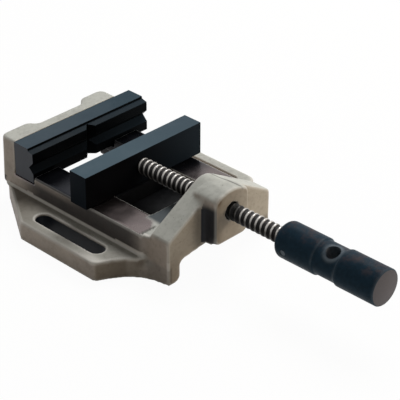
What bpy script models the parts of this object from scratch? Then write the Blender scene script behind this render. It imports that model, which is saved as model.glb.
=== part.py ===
"""Drill press vise, in metres, +Z up.

The vise stands on z = 0. The spindle runs along Y, with the fixed jaw at +Y and the handle at -Y.
x = 0 is the middle plane of the base and y = 0 is halfway along the whole vise.
"""
import math

import bmesh
import bpy
from mathutils import Matrix, Vector

MM = 0.001
SEAT_GAP = 0.3 * MM                 # left between two pieces that touch
OVERCUT = 1.0 * MM                  # how far a cutter passes the face it opens

# Lengths along the vise, from the wall at the back to the end of the handle
WALL_THICKNESS = 15.2 * MM
PLATE_THICKNESS = 19.2 * MM
JAW_OPENING = 43.8 * MM
JAW_THICKNESS = 15.9 * MM
SPINDLE_REACH = 130.7 * MM          # from the moving jaw to the handle
HANDLE_LENGTH = 82.1 * MM
BED_LENGTH = 133.4 * MM             # from the bridge to the wall
BRIDGE_THICKNESS = 18.0 * MM
BOSS_LENGTH = 12.2 * MM

OVERALL_LENGTH = (WALL_THICKNESS + SEAT_GAP + PLATE_THICKNESS + JAW_OPENING
                  + JAW_THICKNESS + SPINDLE_REACH + HANDLE_LENGTH)
WALL_BACK_Y = OVERALL_LENGTH / 2
WALL_FRONT_Y = WALL_BACK_Y - WALL_THICKNESS
PLATE_BACK_Y = WALL_FRONT_Y - SEAT_GAP
PLATE_FACE_Y = PLATE_BACK_Y - PLATE_THICKNESS
JAW_FACE_Y = PLATE_FACE_Y - JAW_OPENING
JAW_BACK_Y = JAW_FACE_Y - JAW_THICKNESS
HANDLE_FRONT_Y = JAW_BACK_Y - SPINDLE_REACH
BRIDGE_BACK_Y = WALL_FRONT_Y - BED_LENGTH
BRIDGE_FRONT_Y = BRIDGE_BACK_Y - BRIDGE_THICKNESS
BOSS_FRONT_Y = BRIDGE_FRONT_Y - BOSS_LENGTH

# Body and rails
BODY_HALF_WIDTH = 49.5 * MM
ARM_HALF_WIDTH = 49.0 * MM
ARM_OFFSET = 1.5 * MM                # the cored front of the casting sits a little to the right
RAIL_TOP = 30.2 * MM
RAIL_THICKNESS = 11.3 * MM
RAIL_EDGE_RADIUS = 1.6 * MM
RAIL_UNDERSIDE = RAIL_TOP - RAIL_THICKNESS
CHANNEL_HALF_WIDTH = 26.6 * MM
CHANNEL_CORNER_RADIUS = 2.0 * MM
DECK_LENGTH = 19.6 * MM             # solid deck between the bridge and the channel
SHOULDER_OFFSET = 2.5 * MM          # from the bridge to where the body starts to widen
SHOULDER_LENGTH = 4.0 * MM
SHOULDER_RADIUS = 3.0 * MM
CAVITY_HALF_WIDTH = 37.8 * MM
CAVITY_HEIGHT = 14.9 * MM           # at the sides, under the bridge and the wall
CAVITY_CORNER_RADIUS = 4.0 * MM
ARCH_RISE = 4.9 * MM                # of the two straight slopes that the arch rounds off
ARCH_RADIUS = 60.0 * MM
FOOT_RADIUS = 5.3 * MM              # inner lower edge of the feet
GROOVE_WIDTH = 1.2 * MM             # tool run-out at the front end of the machined rails
GROOVE_DEPTH = 1.0 * MM
GROOVE_OFFSET = 5.0 * MM
GROOVE_LENGTH = 14.5 * MM

# Rear wall with its two screw lobes
WALL_HALF_WIDTH = 48.3 * MM         # at the top, from where the sides lean out
WALL_DRAFT = 0.67                   # share of the width gained for each metre down
WALL_UNDERSIDE = 14.0 * MM          # of the lobes, which stand out behind the body
WALL_TOP = 50.4 * MM
WALL_EDGE_RADIUS = 1.4 * MM
LOBE_DEPTH = 6.3 * MM
LEFT_LOBE_INNER_X = 23.5 * MM
RIGHT_LOBE_INNER_X = 28.0 * MM
LOBE_RUN = 5.5 * MM
LOBE_RADIUS = 5.0 * MM
REBATE_DEPTH = 5.8 * MM             # seat of the fixed jaw plate, below the rails
REBATE_RELIEF = 1.5 * MM
CHANNEL_LEDGE = 2.0 * MM            # left of the rails in front of the wall

# Flanges
FLANGE_HEIGHT = 14.9 * MM
FLANGE_HALF_SPAN = 78.1 * MM
FLANGE_EDGE_RADIUS = 1.7 * MM
FLANGE_FILLET_RADIUS = 1.9 * MM     # between the flange's top and the body's side
FLANGE_FRONT_OFFSET = 21.3 * MM     # from the bridge
FLANGE_LENGTH = 73.7 * MM
FLANGE_REAR_TAPER = 48.1 * MM       # length of the slanted side behind the straight one
FLANGE_FRONT_TAPER = 15.2 * MM
FLANGE_SWEEP_RADIUS = 36.0 * MM
FLANGE_FRONT_RADIUS = 6.0 * MM
FLANGE_REAR_RADIUS = 3.0 * MM
SLOT_WIDTH = 12.0 * MM
SLOT_LENGTH = 65.5 * MM
SLOT_INSET = 14.1 * MM              # from the flange's side to the slot's middle
SLOT_FRONT_OFFSET = 27.0 * MM       # from the bridge

# Bridge and boss
CROWN_HEIGHT = 59.0 * MM
CROWN_RADIUS = 14.0 * MM
FLANK_ANGLE = math.radians(30)
ARM_EDGE_RADIUS = 3.6 * MM
BRIDGE_FRONT_ROUND = 1.0 * MM
BRIDGE_BACK_ROUND = 3.0 * MM
BOSS_HEIGHT = 59.6 * MM
BOSS_HALF_WIDTH = 15.6 * MM
BOSS_UNDERSIDE = 21.5 * MM          # at the front face
BOSS_UNDERSIDE_SLOPE = 0.12         # falls towards the bridge
BOSS_DROP = 7.3 * MM                # from the crown's middle line to the sides
BOSS_CROWN_RADIUS = 24.0 * MM
BOSS_TOP_RADIUS = 4.0 * MM
BOSS_LOWER_RADIUS = 4.7 * MM
BOSS_FACE_ROUND = 1.2 * MM
BOSS_RUN_IN = 15.0 * MM             # the boss fades into the bridge over this length
BOSS_FADE = 6.3 * MM
BOSS_COVE_RADIUS = 5.0 * MM         # between the boss's sides and the bridge's front
BOSS_COVE_LEG = 8.0 * MM            # the cove's flat sides dive under both faces
BOSS_COVE_DIP = 0.2 * MM

# Spindle, nut and handle
SPINDLE_HEIGHT = 43.2 * MM
THREAD_RADIUS = 6.0 * MM
NUT_RADIUS = 8.1 * MM
NUT_RECESS = 2.5 * MM               # the bush goes in from behind, up to a lip in front
SPINDLE_HOLE_RADIUS = 6.4 * MM
NUT_LENGTH = 27.0 * MM
LOCK_SCREW_RADIUS = 2.5 * MM
LOCK_SCREW_RECESS = 1.2 * MM
JOURNAL_RADIUS = 4.5 * MM
JOURNAL_LENGTH = 12.0 * MM
NECK_RADIUS = 3.2 * MM
NECK_SETBACK = 6.6 * MM             # from the jaw's back to the middle of the neck
TANG_RADIUS = 5.0 * MM
TANG_LENGTH = 20.0 * MM
RETAINING_PIN_RADIUS = 2.0 * MM
RETAINING_PIN_LENGTH = 18.5 * MM
HANDLE_RADIUS = 12.8 * MM
HANDLE_NOSE_RADIUS = 4.2 * MM
HANDLE_CHAMFER = 0.8 * MM
WAIST_RADIUS = 11.8 * MM
WAIST_START = 32.0 * MM             # from the handle's front end
WAIST_LENGTH = 19.0 * MM
WAIST_RUN_OUT = 2.5 * MM
CROSS_HOLE_RADIUS = 5.0 * MM
CROSS_HOLE_SETBACK = 43.5 * MM
CROSS_HOLE_TILT = math.radians(-22)
HANDLE_PIN_RADIUS = 2.0 * MM
HANDLE_PIN_SETBACK = 9.0 * MM
HANDLE_PIN_TILT = math.radians(-100)

# Fixed jaw plate
JAW_WIDTH = 110.0 * MM
PLATE_OFFSET = 6.4 * MM             # the plate sits off the middle, as on the real vise
PLATE_LIP_HEIGHT = 1.7 * MM
PLATE_LIP_SETBACK = 4.8 * MM
PLATE_LIP_SLOPE = 1.2 * MM
LEVEL_GROOVE_HEIGHT = 11.4 * MM     # middle of the level V above the plate's underside
LEVEL_GROOVE_WIDTH = 8.8 * MM
LEVEL_GROOVE_DEPTH = 4.2 * MM
UPRIGHT_GROOVE_WIDTH = 9.3 * MM
UPRIGHT_GROOVE_DEPTH = 4.6 * MM
STEEL_EDGE = 0.4 * MM

# Moving jaw, carriage and keeper
JAW_HEIGHT = 24.6 * MM
JAW_OFFSET = 1.8 * MM
CARRIAGE_LENGTH = 17.6 * MM
CARRIAGE_SETBACK = 0.4 * MM          # behind the moving jaw's clamping face
KEEPER_HALF_WIDTH = 34.0 * MM
KEEPER_THICKNESS = 9.7 * MM
KEEPER_LENGTH = 56.5 * MM
KEEPER_BACK_OVERHANG = 18.9 * MM    # behind the moving jaw's clamping face

# Socket head screws: shank radius, head radius, head height, key width across flats
M8_SCREW = (4.0 * MM, 6.5 * MM, 8.0 * MM, 6.0 * MM)
M6_SCREW = (3.0 * MM, 5.0 * MM, 6.0 * MM, 5.0 * MM)
M4_SCREW = (2.0 * MM, 3.5 * MM, 4.0 * MM, 3.0 * MM)
HEAD_CLEARANCE = 0.6 * MM
PLATE_SCREW_X = 35.0 * MM
PLATE_SCREW_HEIGHT = 14.2 * MM      # above the plate's underside
PLATE_SCREW_DEPTH = 10.6 * MM
WASHER_THICKNESS = 1.6 * MM
LOBE_COUNTERBORE = 11.0 * MM
JAW_SCREW_X = 16.0 * MM
JAW_SCREW_DEPTH = 12.0 * MM
CARRIAGE_COUNTERBORE = 6.6 * MM
KEEPER_SCREW_X = 6.0 * MM
KEEPER_SCREW_SPACING = 10.0 * MM
KEEPER_SCREW_DEPTH = 7.5 * MM
KEEPER_COUNTERBORE = 4.6 * MM

REBATE_FLOOR = RAIL_TOP - REBATE_DEPTH
PLATE_UNDERSIDE = REBATE_FLOOR + SEAT_GAP
JAW_UNDERSIDE = RAIL_TOP + SEAT_GAP
JAW_MIDDLE_Y = (JAW_FACE_Y + JAW_BACK_Y) / 2
KEEPER_TOP = RAIL_UNDERSIDE - SEAT_GAP
CARRIAGE_UNDERSIDE = KEEPER_TOP + SEAT_GAP
CARRIAGE_TOP = JAW_UNDERSIDE - SEAT_GAP
CARRIAGE_BACK_Y = JAW_FACE_Y - CARRIAGE_SETBACK
CARRIAGE_FRONT_Y = CARRIAGE_BACK_Y - CARRIAGE_LENGTH

ARC_STEP = math.radians(15)
ROUND_STEPS = 3
LARGE_SEGMENTS = 48
SMALL_SEGMENTS = 24


def upright(u, v, w):
    """Outline in plan, carried up along Z."""
    return Vector((u, v, w))


def along_y(u, v, w):
    """Outline in the XZ plane, carried along Y."""
    return Vector((u, w, v))


def along_x(u, v, w):
    """Outline in the YZ plane, carried along X."""
    return Vector((w, u, v))


def leaning_wall(u, v, w):
    """Plan outline carried up along Z, with sides that lean in towards the wall's top."""
    return Vector((u * (1 + WALL_DRAFT * (WALL_TOP - w)), v, w))


def mirrored(right_side, offset=0.0):
    """Corners of the right-hand half, then the same ones mirrored in reverse order."""
    both = right_side + [(-u, v, radius) for u, v, radius in reversed(right_side) if u > 0]
    return [(u + offset, v, radius) for u, v, radius in both]


def rectangle(low_u, high_u, low_v, high_v, radius=0.0):
    return [(low_u, low_v, radius), (high_u, low_v, radius),
            (high_u, high_v, radius), (low_u, high_v, radius)]


def rounded_outline(corners, inset=0.0):
    """Points round a closed anticlockwise outline of (u, v, radius) corners, moved inwards by inset.

    Every inset gives the same number of points, so outlines can be lofted to one another.
    """
    points = []
    for index, (u, v, radius) in enumerate(corners):
        corner = Vector((u, v))
        arriving = (corner - Vector(corners[index - 1][:2])).normalized()
        leaving = (Vector(corners[(index + 1) % len(corners)][:2]) - corner).normalized()
        inward_before = Vector((-arriving.y, arriving.x))
        inward_after = Vector((-leaving.y, leaving.x))
        both = inward_before + inward_after
        corner = corner + both * (inset / (1 + inward_before.dot(inward_after)))
        if radius == 0:
            points.append(corner)
            continue
        turn = math.atan2(arriving.x * leaving.y - arriving.y * leaving.x, arriving.dot(leaving))
        side = 1 if turn > 0 else -1
        arc_radius = max(radius - side * inset, 0.02 * MM)
        start = corner - arriving * arc_radius * math.tan(abs(turn) / 2)
        centre = start + inward_before * side * arc_radius
        steps = max(2, round(abs(turn) / ARC_STEP))
        spoke = start - centre
        for step in range(steps + 1):
            angle = turn * step / steps
            points.append(centre + Vector((spoke.x * math.cos(angle) - spoke.y * math.sin(angle),
                                           spoke.x * math.sin(angle) + spoke.y * math.cos(angle))))
    return points


def loft(name, rings, capped=True):
    """One closed body through rings of equally many points."""
    shape = bmesh.new()
    loops = [[shape.verts.new(point) for point in ring] for ring in rings]
    pairs = list(zip(loops, loops[1:]))
    if not capped:
        pairs.append((loops[-1], loops[0]))
    for low, high in pairs:
        for index in range(len(low)):
            following = (index + 1) % len(low)
            shape.faces.new((low[index], low[following], high[following], high[index]))
    if capped:
        shape.faces.new(loops[0])
        shape.faces.new(loops[-1])
    bmesh.ops.recalc_face_normals(shape, faces=shape.faces)
    mesh = bpy.data.meshes.new(name)
    shape.to_mesh(mesh)
    shape.free()
    piece = bpy.data.objects.new(name, mesh)
    bpy.context.scene.collection.objects.link(piece)
    return piece


def quarter_turn():
    """Pairs (1 - sine, 1 - cosine) of the angles through a quarter turn."""
    angles = [math.radians(90) * step / ROUND_STEPS for step in range(ROUND_STEPS + 1)]
    return [(1 - math.sin(angle), 1 - math.cos(angle)) for angle in angles]


def stack(name, corners, levels, place):
    """Body through outlines at (inset, level) pairs. Corners may be a function of the level."""
    rings = []
    for inset, level in levels:
        here = corners(level) if callable(corners) else corners
        rings.append([place(u, v, level) for u, v in rounded_outline(here, inset)])
    return loft(name, rings)


def slab(name, corners, start, end, place, start_round=(0, 0), end_round=(0, 0), between=()):
    """Outline carried from start to end. A round is (inset, length) of a quarter ellipse."""
    opening = quarter_turn() if start_round[0] > 0 else quarter_turn()[:1]
    closing = quarter_turn() if end_round[0] > 0 else quarter_turn()[-1:]
    levels = [(start_round[0] * from_sine, start + start_round[1] * from_cosine)
              for from_sine, from_cosine in opening]
    levels += [(0, level) for level in between]
    levels += [(end_round[0] * from_cosine, end - end_round[1] * from_sine)
               for from_sine, from_cosine in closing]
    return stack(name, corners, levels, place)


def turned(name, profile, segments=SMALL_SEGMENTS, capped=True):
    """Profile of (distance, radius) turned round local Z. An uncapped profile is a closed loop."""
    rings = []
    for distance, radius in profile:
        rings.append([Vector((radius * math.cos(math.tau * index / segments),
                              radius * math.sin(math.tau * index / segments), distance))
                      for index in range(segments)])
    return loft(name, rings, capped)


def point_along(piece, direction, location):
    """Turn a piece so that its local Z points along direction, and put it at location."""
    piece.rotation_euler = Vector(direction).to_track_quat('Z', 'Y').to_euler()
    piece.location = location
    return piece


def rod(name, radius, length, direction, location, segments=SMALL_SEGMENTS):
    return point_along(turned(name, [(0, radius), (length, radius)], segments), direction, location)


def combine(piece, tool, operation):
    """Join a tool to a piece or cut it away, and leave a plain mesh."""
    bpy.context.view_layer.update()
    modifier = piece.modifiers.new(operation, 'BOOLEAN')
    modifier.operation = operation
    modifier.object = tool
    modifier.solver = 'EXACT'
    result = bpy.data.meshes.new_from_object(
        piece.evaluated_get(bpy.context.evaluated_depsgraph_get()))
    piece.modifiers.clear()
    piece.data = result
    bpy.data.objects.remove(tool)


def join(piece, *tools):
    for tool in tools:
        combine(piece, tool, 'UNION')


def cut(piece, *tools):
    for tool in tools:
        combine(piece, tool, 'DIFFERENCE')


def flange_outline():
    """Plan of both flanges and the feet in front of them."""
    straight_start = BRIDGE_BACK_Y + FLANGE_FRONT_OFFSET
    straight_end = straight_start + FLANGE_LENGTH
    return mirrored([
        (ARM_HALF_WIDTH - ARM_OFFSET, BRIDGE_FRONT_Y + BRIDGE_FRONT_ROUND, 0),
        (BODY_HALF_WIDTH, straight_start - FLANGE_FRONT_TAPER, FLANGE_SWEEP_RADIUS),
        (FLANGE_HALF_SPAN, straight_start, FLANGE_FRONT_RADIUS),
        (FLANGE_HALF_SPAN, straight_end, FLANGE_REAR_RADIUS),
        (BODY_HALF_WIDTH - FLANGE_EDGE_RADIUS, straight_end + FLANGE_REAR_TAPER, 0),
    ])


def body_outline():
    """Plan of the rails, narrower where they run into the bridge."""
    shoulder = BRIDGE_BACK_Y + SHOULDER_OFFSET
    middle = (BRIDGE_FRONT_Y + BRIDGE_BACK_Y) / 2
    back = WALL_BACK_Y - LOBE_DEPTH
    arm_left = ARM_OFFSET - ARM_HALF_WIDTH
    arm_right = ARM_OFFSET + ARM_HALF_WIDTH
    return [
        (arm_right, middle, 0),
        (arm_right, shoulder, SHOULDER_RADIUS),
        (BODY_HALF_WIDTH, shoulder + SHOULDER_LENGTH, SHOULDER_RADIUS),
        (BODY_HALF_WIDTH, back, SHOULDER_RADIUS),
        (-BODY_HALF_WIDTH, back, SHOULDER_RADIUS),
        (-BODY_HALF_WIDTH, shoulder + SHOULDER_LENGTH, SHOULDER_RADIUS),
        (arm_left, shoulder, SHOULDER_RADIUS),
        (arm_left, middle, 0),
    ]


def wall_outline():
    """Plan of the rear wall with a lobe behind each screw."""
    front = PLATE_FACE_Y + PLATE_THICKNESS / 2
    recess = WALL_BACK_Y - LOBE_DEPTH
    return [
        (WALL_HALF_WIDTH, front, 0),
        (WALL_HALF_WIDTH, WALL_BACK_Y, LOBE_RADIUS),
        (RIGHT_LOBE_INNER_X, WALL_BACK_Y, LOBE_RADIUS),
        (RIGHT_LOBE_INNER_X - LOBE_RUN, recess, LOBE_RADIUS),
        (LOBE_RUN - LEFT_LOBE_INNER_X, recess, LOBE_RADIUS),
        (-LEFT_LOBE_INNER_X, WALL_BACK_Y, LOBE_RADIUS),
        (-WALL_HALF_WIDTH, WALL_BACK_Y, LOBE_RADIUS),
        (-WALL_HALF_WIDTH, front, 0),
    ]


def bridge_section():
    """Section of the bridge: round crown, straight flanks and upright arm ends."""
    peak = CROWN_HEIGHT + CROWN_RADIUS * (1 / math.cos(FLANK_ANGLE) - 1)
    return mirrored([
        (ARM_HALF_WIDTH, -OVERCUT - BRIDGE_BACK_ROUND, 0),
        (ARM_HALF_WIDTH, peak - ARM_HALF_WIDTH * math.tan(FLANK_ANGLE), ARM_EDGE_RADIUS),
        (0, peak, CROWN_RADIUS),
    ], ARM_OFFSET)


def boss_underside(y):
    """Height of the boss's underside, which slopes down towards the bridge."""
    return BOSS_UNDERSIDE - BOSS_UNDERSIDE_SLOPE * (min(y, BRIDGE_FRONT_Y) - BOSS_FRONT_Y)


def boss_section(y):
    """Section of the boss: nearly flat crown, round upper corners, flat sides and underside."""
    slope = math.atan2(BOSS_DROP, BOSS_HALF_WIDTH)
    peak = BOSS_HEIGHT + BOSS_CROWN_RADIUS * (1 / math.cos(slope) - 1)
    return mirrored([
        (BOSS_HALF_WIDTH, boss_underside(y), BOSS_LOWER_RADIUS),
        (BOSS_HALF_WIDTH, peak - BOSS_DROP, BOSS_TOP_RADIUS),
        (0, peak, BOSS_CROWN_RADIUS),
    ])


def make_coves():
    """Coves where the boss's sides meet the bridge, trimmed to the bridge's section."""
    reach = BOSS_COVE_LEG
    dip = BOSS_COVE_DIP
    corner_x, corner_y = BOSS_HALF_WIDTH, BRIDGE_FRONT_Y
    coves = []
    for side in (-1, 1):
        plan = [
            (corner_x - OVERCUT, corner_y - reach, 0),
            (corner_x - dip, corner_y - reach, 0),
            (corner_x + dip, corner_y - dip, BOSS_COVE_RADIUS),
            (corner_x + reach, corner_y + dip, 0),
            (corner_x + reach, corner_y + OVERCUT, 0),
            (corner_x - OVERCUT, corner_y + OVERCUT, 0),
        ]
        if side < 0:
            plan = [(-u, v, radius) for u, v, radius in reversed(plan)]
        cove = slab("cove", plan, boss_underside(corner_y) + OVERCUT, CROWN_HEIGHT, upright)
        envelope = stack("envelope", bridge_section(),
                         [(BRIDGE_FRONT_ROUND / 2, corner_y - 2 * reach),
                          (BRIDGE_FRONT_ROUND / 2, corner_y + 2 * OVERCUT)], along_y)
        combine(cove, envelope, 'INTERSECT')
        coves.append(cove)
    return coves


def tunnel_section():
    """Section of the cored tunnel: shallow arch above, rounded lower edges of the feet below."""
    outer = CAVITY_HALF_WIDTH + 2 * FOOT_RADIUS
    ground = -OVERCUT / 4
    return mirrored([
        (outer, -2 * OVERCUT, 0),
        (outer, ground, 0),
        (CAVITY_HALF_WIDTH, ground, FOOT_RADIUS),
        (CAVITY_HALF_WIDTH, CAVITY_HEIGHT, CAVITY_CORNER_RADIUS),
        (0, CAVITY_HEIGHT + ARCH_RISE, ARCH_RADIUS),
    ], ARM_OFFSET)


def plate_screw_seats():
    """Where the two plate screws pass through the wall's back face."""
    height = PLATE_UNDERSIDE + PLATE_SCREW_HEIGHT
    return [("left", Vector((-PLATE_SCREW_X, WALL_BACK_Y, height))),
            ("right", Vector((PLATE_SCREW_X, WALL_BACK_Y, height)))]


def make_base():
    """The casting: flanges, rails, wall, bridge and boss joined, then cored and machined."""
    underside = -OVERCUT
    base = slab("base_casting", flange_outline(), underside, FLANGE_HEIGHT, upright,
                end_round=(FLANGE_EDGE_RADIUS, FLANGE_EDGE_RADIUS))
    body = slab("body", body_outline(), underside, RAIL_TOP, upright,
                end_round=(RAIL_EDGE_RADIUS, RAIL_EDGE_RADIUS))
    fillet_levels = [(-FLANGE_FILLET_RADIUS, FLANGE_HEIGHT - OVERCUT)]
    fillet_levels += [(-FLANGE_FILLET_RADIUS * from_sine,
                       FLANGE_HEIGHT + FLANGE_FILLET_RADIUS * from_cosine)
                      for from_sine, from_cosine in quarter_turn()]
    fillet = stack("fillet", body_outline(), fillet_levels, upright)
    wall = slab("wall", wall_outline(), WALL_UNDERSIDE, WALL_TOP, leaning_wall,
                (WALL_EDGE_RADIUS, WALL_EDGE_RADIUS), (WALL_EDGE_RADIUS, WALL_EDGE_RADIUS))
    bridge = slab("bridge", bridge_section(), BRIDGE_FRONT_Y, BRIDGE_BACK_Y, along_y,
                  (BRIDGE_FRONT_ROUND, BRIDGE_FRONT_ROUND), (BRIDGE_BACK_ROUND, BRIDGE_BACK_ROUND))
    boss = slab("boss", boss_section, BOSS_FRONT_Y, BRIDGE_FRONT_Y + BOSS_RUN_IN, along_y,
                (BOSS_FACE_ROUND, BOSS_FACE_ROUND), (BOSS_FADE, BOSS_RUN_IN), (BRIDGE_FRONT_Y,))
    join(base, fillet, body, wall, bridge, boss, *make_coves())

    reach = FLANGE_HALF_SPAN + OVERCUT
    ground = slab("ground", rectangle(-reach, reach, BOSS_FRONT_Y, WALL_BACK_Y + OVERCUT),
                  -BRIDGE_BACK_ROUND - 3 * OVERCUT, 0, upright)
    tunnel = slab("tunnel", tunnel_section(), BOSS_FRONT_Y, WALL_BACK_Y + OVERCUT, along_y)
    pocket = slab("pocket", rectangle(ARM_OFFSET - CAVITY_HALF_WIDTH, ARM_OFFSET + CAVITY_HALF_WIDTH,
                                      BRIDGE_BACK_Y, WALL_FRONT_Y, CAVITY_CORNER_RADIUS),
                  CAVITY_HEIGHT / 2, RAIL_UNDERSIDE, upright)
    channel = slab("channel", rectangle(-CHANNEL_HALF_WIDTH, CHANNEL_HALF_WIDTH,
                                        BRIDGE_BACK_Y + DECK_LENGTH, WALL_FRONT_Y - CHANNEL_LEDGE,
                                        CHANNEL_CORNER_RADIUS),
                   CAVITY_HEIGHT - OVERCUT, RAIL_TOP + OVERCUT, upright)
    rebate = slab("rebate", rectangle(-reach, reach, PLATE_FACE_Y - REBATE_RELIEF, WALL_FRONT_Y),
                  REBATE_FLOOR, WALL_TOP + OVERCUT, upright)
    cut(base, tunnel, ground, pocket, channel, rebate)

    slot_x = FLANGE_HALF_SPAN - SLOT_INSET
    slot_start = BRIDGE_BACK_Y + SLOT_FRONT_OFFSET
    groove_y = BRIDGE_BACK_Y + GROOVE_OFFSET
    for side in (-1, 1):
        slot = rectangle(side * slot_x - SLOT_WIDTH / 2, side * slot_x + SLOT_WIDTH / 2,
                         slot_start, slot_start + SLOT_LENGTH, 0.499 * SLOT_WIDTH)
        groove_ends = sorted((side * (BODY_HALF_WIDTH - GROOVE_LENGTH),
                              side * (BODY_HALF_WIDTH + OVERCUT)))
        groove = rectangle(*groove_ends, groove_y - GROOVE_WIDTH / 2, groove_y + GROOVE_WIDTH / 2)
        cut(base, slab("slot", slot, -OVERCUT, FLANGE_HEIGHT + OVERCUT, upright),
            slab("groove", groove, RAIL_TOP - GROOVE_DEPTH, RAIL_TOP + OVERCUT, upright))

    forward = Vector((0, -1, 0))
    shank, head, head_height, key = M8_SCREW
    for side, seat in plate_screw_seats():
        start = seat - forward * OVERCUT
        cut(base, rod("counterbore", head + HEAD_CLEARANCE, LOBE_COUNTERBORE + OVERCUT, forward, start),
            rod("screw_hole", shank + HEAD_CLEARANCE, WALL_THICKNESS + 2 * OVERCUT, forward, start))

    lock_y = (BOSS_FRONT_Y + BRIDGE_FRONT_Y) / 2
    cut(base,
        rod("spindle_hole", SPINDLE_HOLE_RADIUS, NUT_RECESS + 2 * OVERCUT, (0, 1, 0),
            (0, BOSS_FRONT_Y - OVERCUT, SPINDLE_HEIGHT), LARGE_SEGMENTS),
        rod("nut_bore", NUT_RADIUS + SEAT_GAP, BRIDGE_BACK_Y - BOSS_FRONT_Y, (0, 1, 0),
            (0, BOSS_FRONT_Y + NUT_RECESS - SEAT_GAP, SPINDLE_HEIGHT), LARGE_SEGMENTS),
        rod("lock_hole", LOCK_SCREW_RADIUS + SEAT_GAP,
            SPINDLE_HEIGHT - boss_underside(lock_y) + 2 * OVERCUT, (0, 0, 1),
            (0, lock_y, boss_underside(lock_y) - 2 * OVERCUT)))
    return base


def socket_screw(name, size, length, direction, seat):
    """Socket head cap screw. The seat is under its head and direction points along the shank."""
    shank, head, head_height, key = size
    edge = 0.1 * head
    profile = [(-head_height, head - edge), (-head_height + edge, head), (0, head), (0, shank),
               (length - edge, shank), (length, shank - edge)]
    screw = turned(name, profile)
    key_depth = 0.6 * head_height
    socket = turned("socket", [(-head_height - OVERCUT, key / math.sqrt(3)),
                               (key_depth - head_height, key / math.sqrt(3))], 6)
    cut(screw, socket)
    return point_along(screw, direction, seat)


def make_plate_fixings():
    """Two cap screws with washers that hold the fixed jaw plate from behind."""
    shank, head, head_height, key = M8_SCREW
    forward = Vector((0, -1, 0))
    screws = []
    washers = []
    for side, seat in plate_screw_seats():
        floor = seat + forward * LOBE_COUNTERBORE
        washer_start = floor - forward * (SEAT_GAP + WASHER_THICKNESS)
        washer = turned("fixed_jaw_washer_" + side,
                        [(0, shank + SEAT_GAP), (0, head), (WASHER_THICKNESS, head),
                         (WASHER_THICKNESS, shank + SEAT_GAP)], capped=False)
        washers.append(point_along(washer, forward, washer_start))
        under_head = washer_start - forward * SEAT_GAP
        reach = (under_head.y - PLATE_BACK_Y) + PLATE_SCREW_DEPTH
        screws.append(socket_screw("fixed_jaw_screw_" + side, M8_SCREW, reach, forward, under_head))
    return screws, washers


def make_fixed_plate():
    """Steel jaw plate with a lip along its top and crossing level and upright V grooves."""
    left = PLATE_OFFSET - JAW_WIDTH / 2
    right = PLATE_OFFSET + JAW_WIDTH / 2
    groove_z = PLATE_UNDERSIDE + LEVEL_GROOVE_HEIGHT
    lip_y = PLATE_FACE_Y + PLATE_LIP_SETBACK
    lip_z = WALL_TOP - PLATE_LIP_HEIGHT
    profile = [
        (PLATE_FACE_Y, PLATE_UNDERSIDE, STEEL_EDGE),
        (PLATE_BACK_Y, PLATE_UNDERSIDE, STEEL_EDGE),
        (PLATE_BACK_Y, WALL_TOP, STEEL_EDGE),
        (lip_y, WALL_TOP, STEEL_EDGE),
        (lip_y, lip_z, STEEL_EDGE / 2),
        (PLATE_FACE_Y, lip_z - PLATE_LIP_SLOPE, STEEL_EDGE),
        (PLATE_FACE_Y, groove_z + LEVEL_GROOVE_WIDTH / 2, STEEL_EDGE / 2),
        (PLATE_FACE_Y + LEVEL_GROOVE_DEPTH, groove_z, STEEL_EDGE / 2),
        (PLATE_FACE_Y, groove_z - LEVEL_GROOVE_WIDTH / 2, STEEL_EDGE / 2),
    ]
    plate = slab("fixed_jaw_plate", profile, left, right, along_x)
    half_mouth = UPRIGHT_GROOVE_WIDTH / 2
    flare = (UPRIGHT_GROOVE_DEPTH + OVERCUT) / UPRIGHT_GROOVE_DEPTH
    upright_groove = [
        (PLATE_OFFSET - half_mouth * flare, PLATE_FACE_Y - OVERCUT, 0),
        (PLATE_OFFSET + half_mouth * flare, PLATE_FACE_Y - OVERCUT, 0),
        (PLATE_OFFSET, PLATE_FACE_Y + UPRIGHT_GROOVE_DEPTH, 0),
    ]
    cut(plate, slab("upright_groove", upright_groove, PLATE_UNDERSIDE - OVERCUT,
                    WALL_TOP + OVERCUT, upright))
    shank = M8_SCREW[0]
    for side, seat in plate_screw_seats():
        start = Vector((seat.x, PLATE_BACK_Y + OVERCUT, seat.z))
        cut(plate, rod("tapped_hole", shank + SEAT_GAP, OVERCUT + PLATE_SCREW_DEPTH + SEAT_GAP,
                       (0, -1, 0), start))
    return plate


def make_nut():
    """Threaded bush in the boss, with a plain bore that clears the spindle."""
    bore = THREAD_RADIUS + SEAT_GAP
    nut = turned("spindle_nut", [(0, bore + OVERCUT), (0, NUT_RADIUS), (NUT_LENGTH, NUT_RADIUS),
                                 (NUT_LENGTH, bore), (OVERCUT, bore)], LARGE_SEGMENTS, capped=False)
    return point_along(nut, (0, 1, 0), (0, BOSS_FRONT_Y + NUT_RECESS, SPINDLE_HEIGHT))


def make_lock_screw():
    """Set screw from below the boss that holds the nut."""
    middle_y = (BOSS_FRONT_Y + BRIDGE_FRONT_Y) / 2
    start = boss_underside(middle_y) + LOCK_SCREW_RECESS
    length = SPINDLE_HEIGHT - NUT_RADIUS - SEAT_GAP - start
    return rod("nut_lock_screw", LOCK_SCREW_RADIUS, length, (0, 0, 1), (0, middle_y, start))


def retaining_pin_seats():
    """Lower ends of the two pins that hold the spindle's neck in the moving jaw."""
    pin_x = NECK_RADIUS + SEAT_GAP + RETAINING_PIN_RADIUS
    return [("left", Vector((-pin_x, JAW_BACK_Y + NECK_SETBACK, JAW_UNDERSIDE + SEAT_GAP))),
            ("right", Vector((pin_x, JAW_BACK_Y + NECK_SETBACK, JAW_UNDERSIDE + SEAT_GAP)))]


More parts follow.
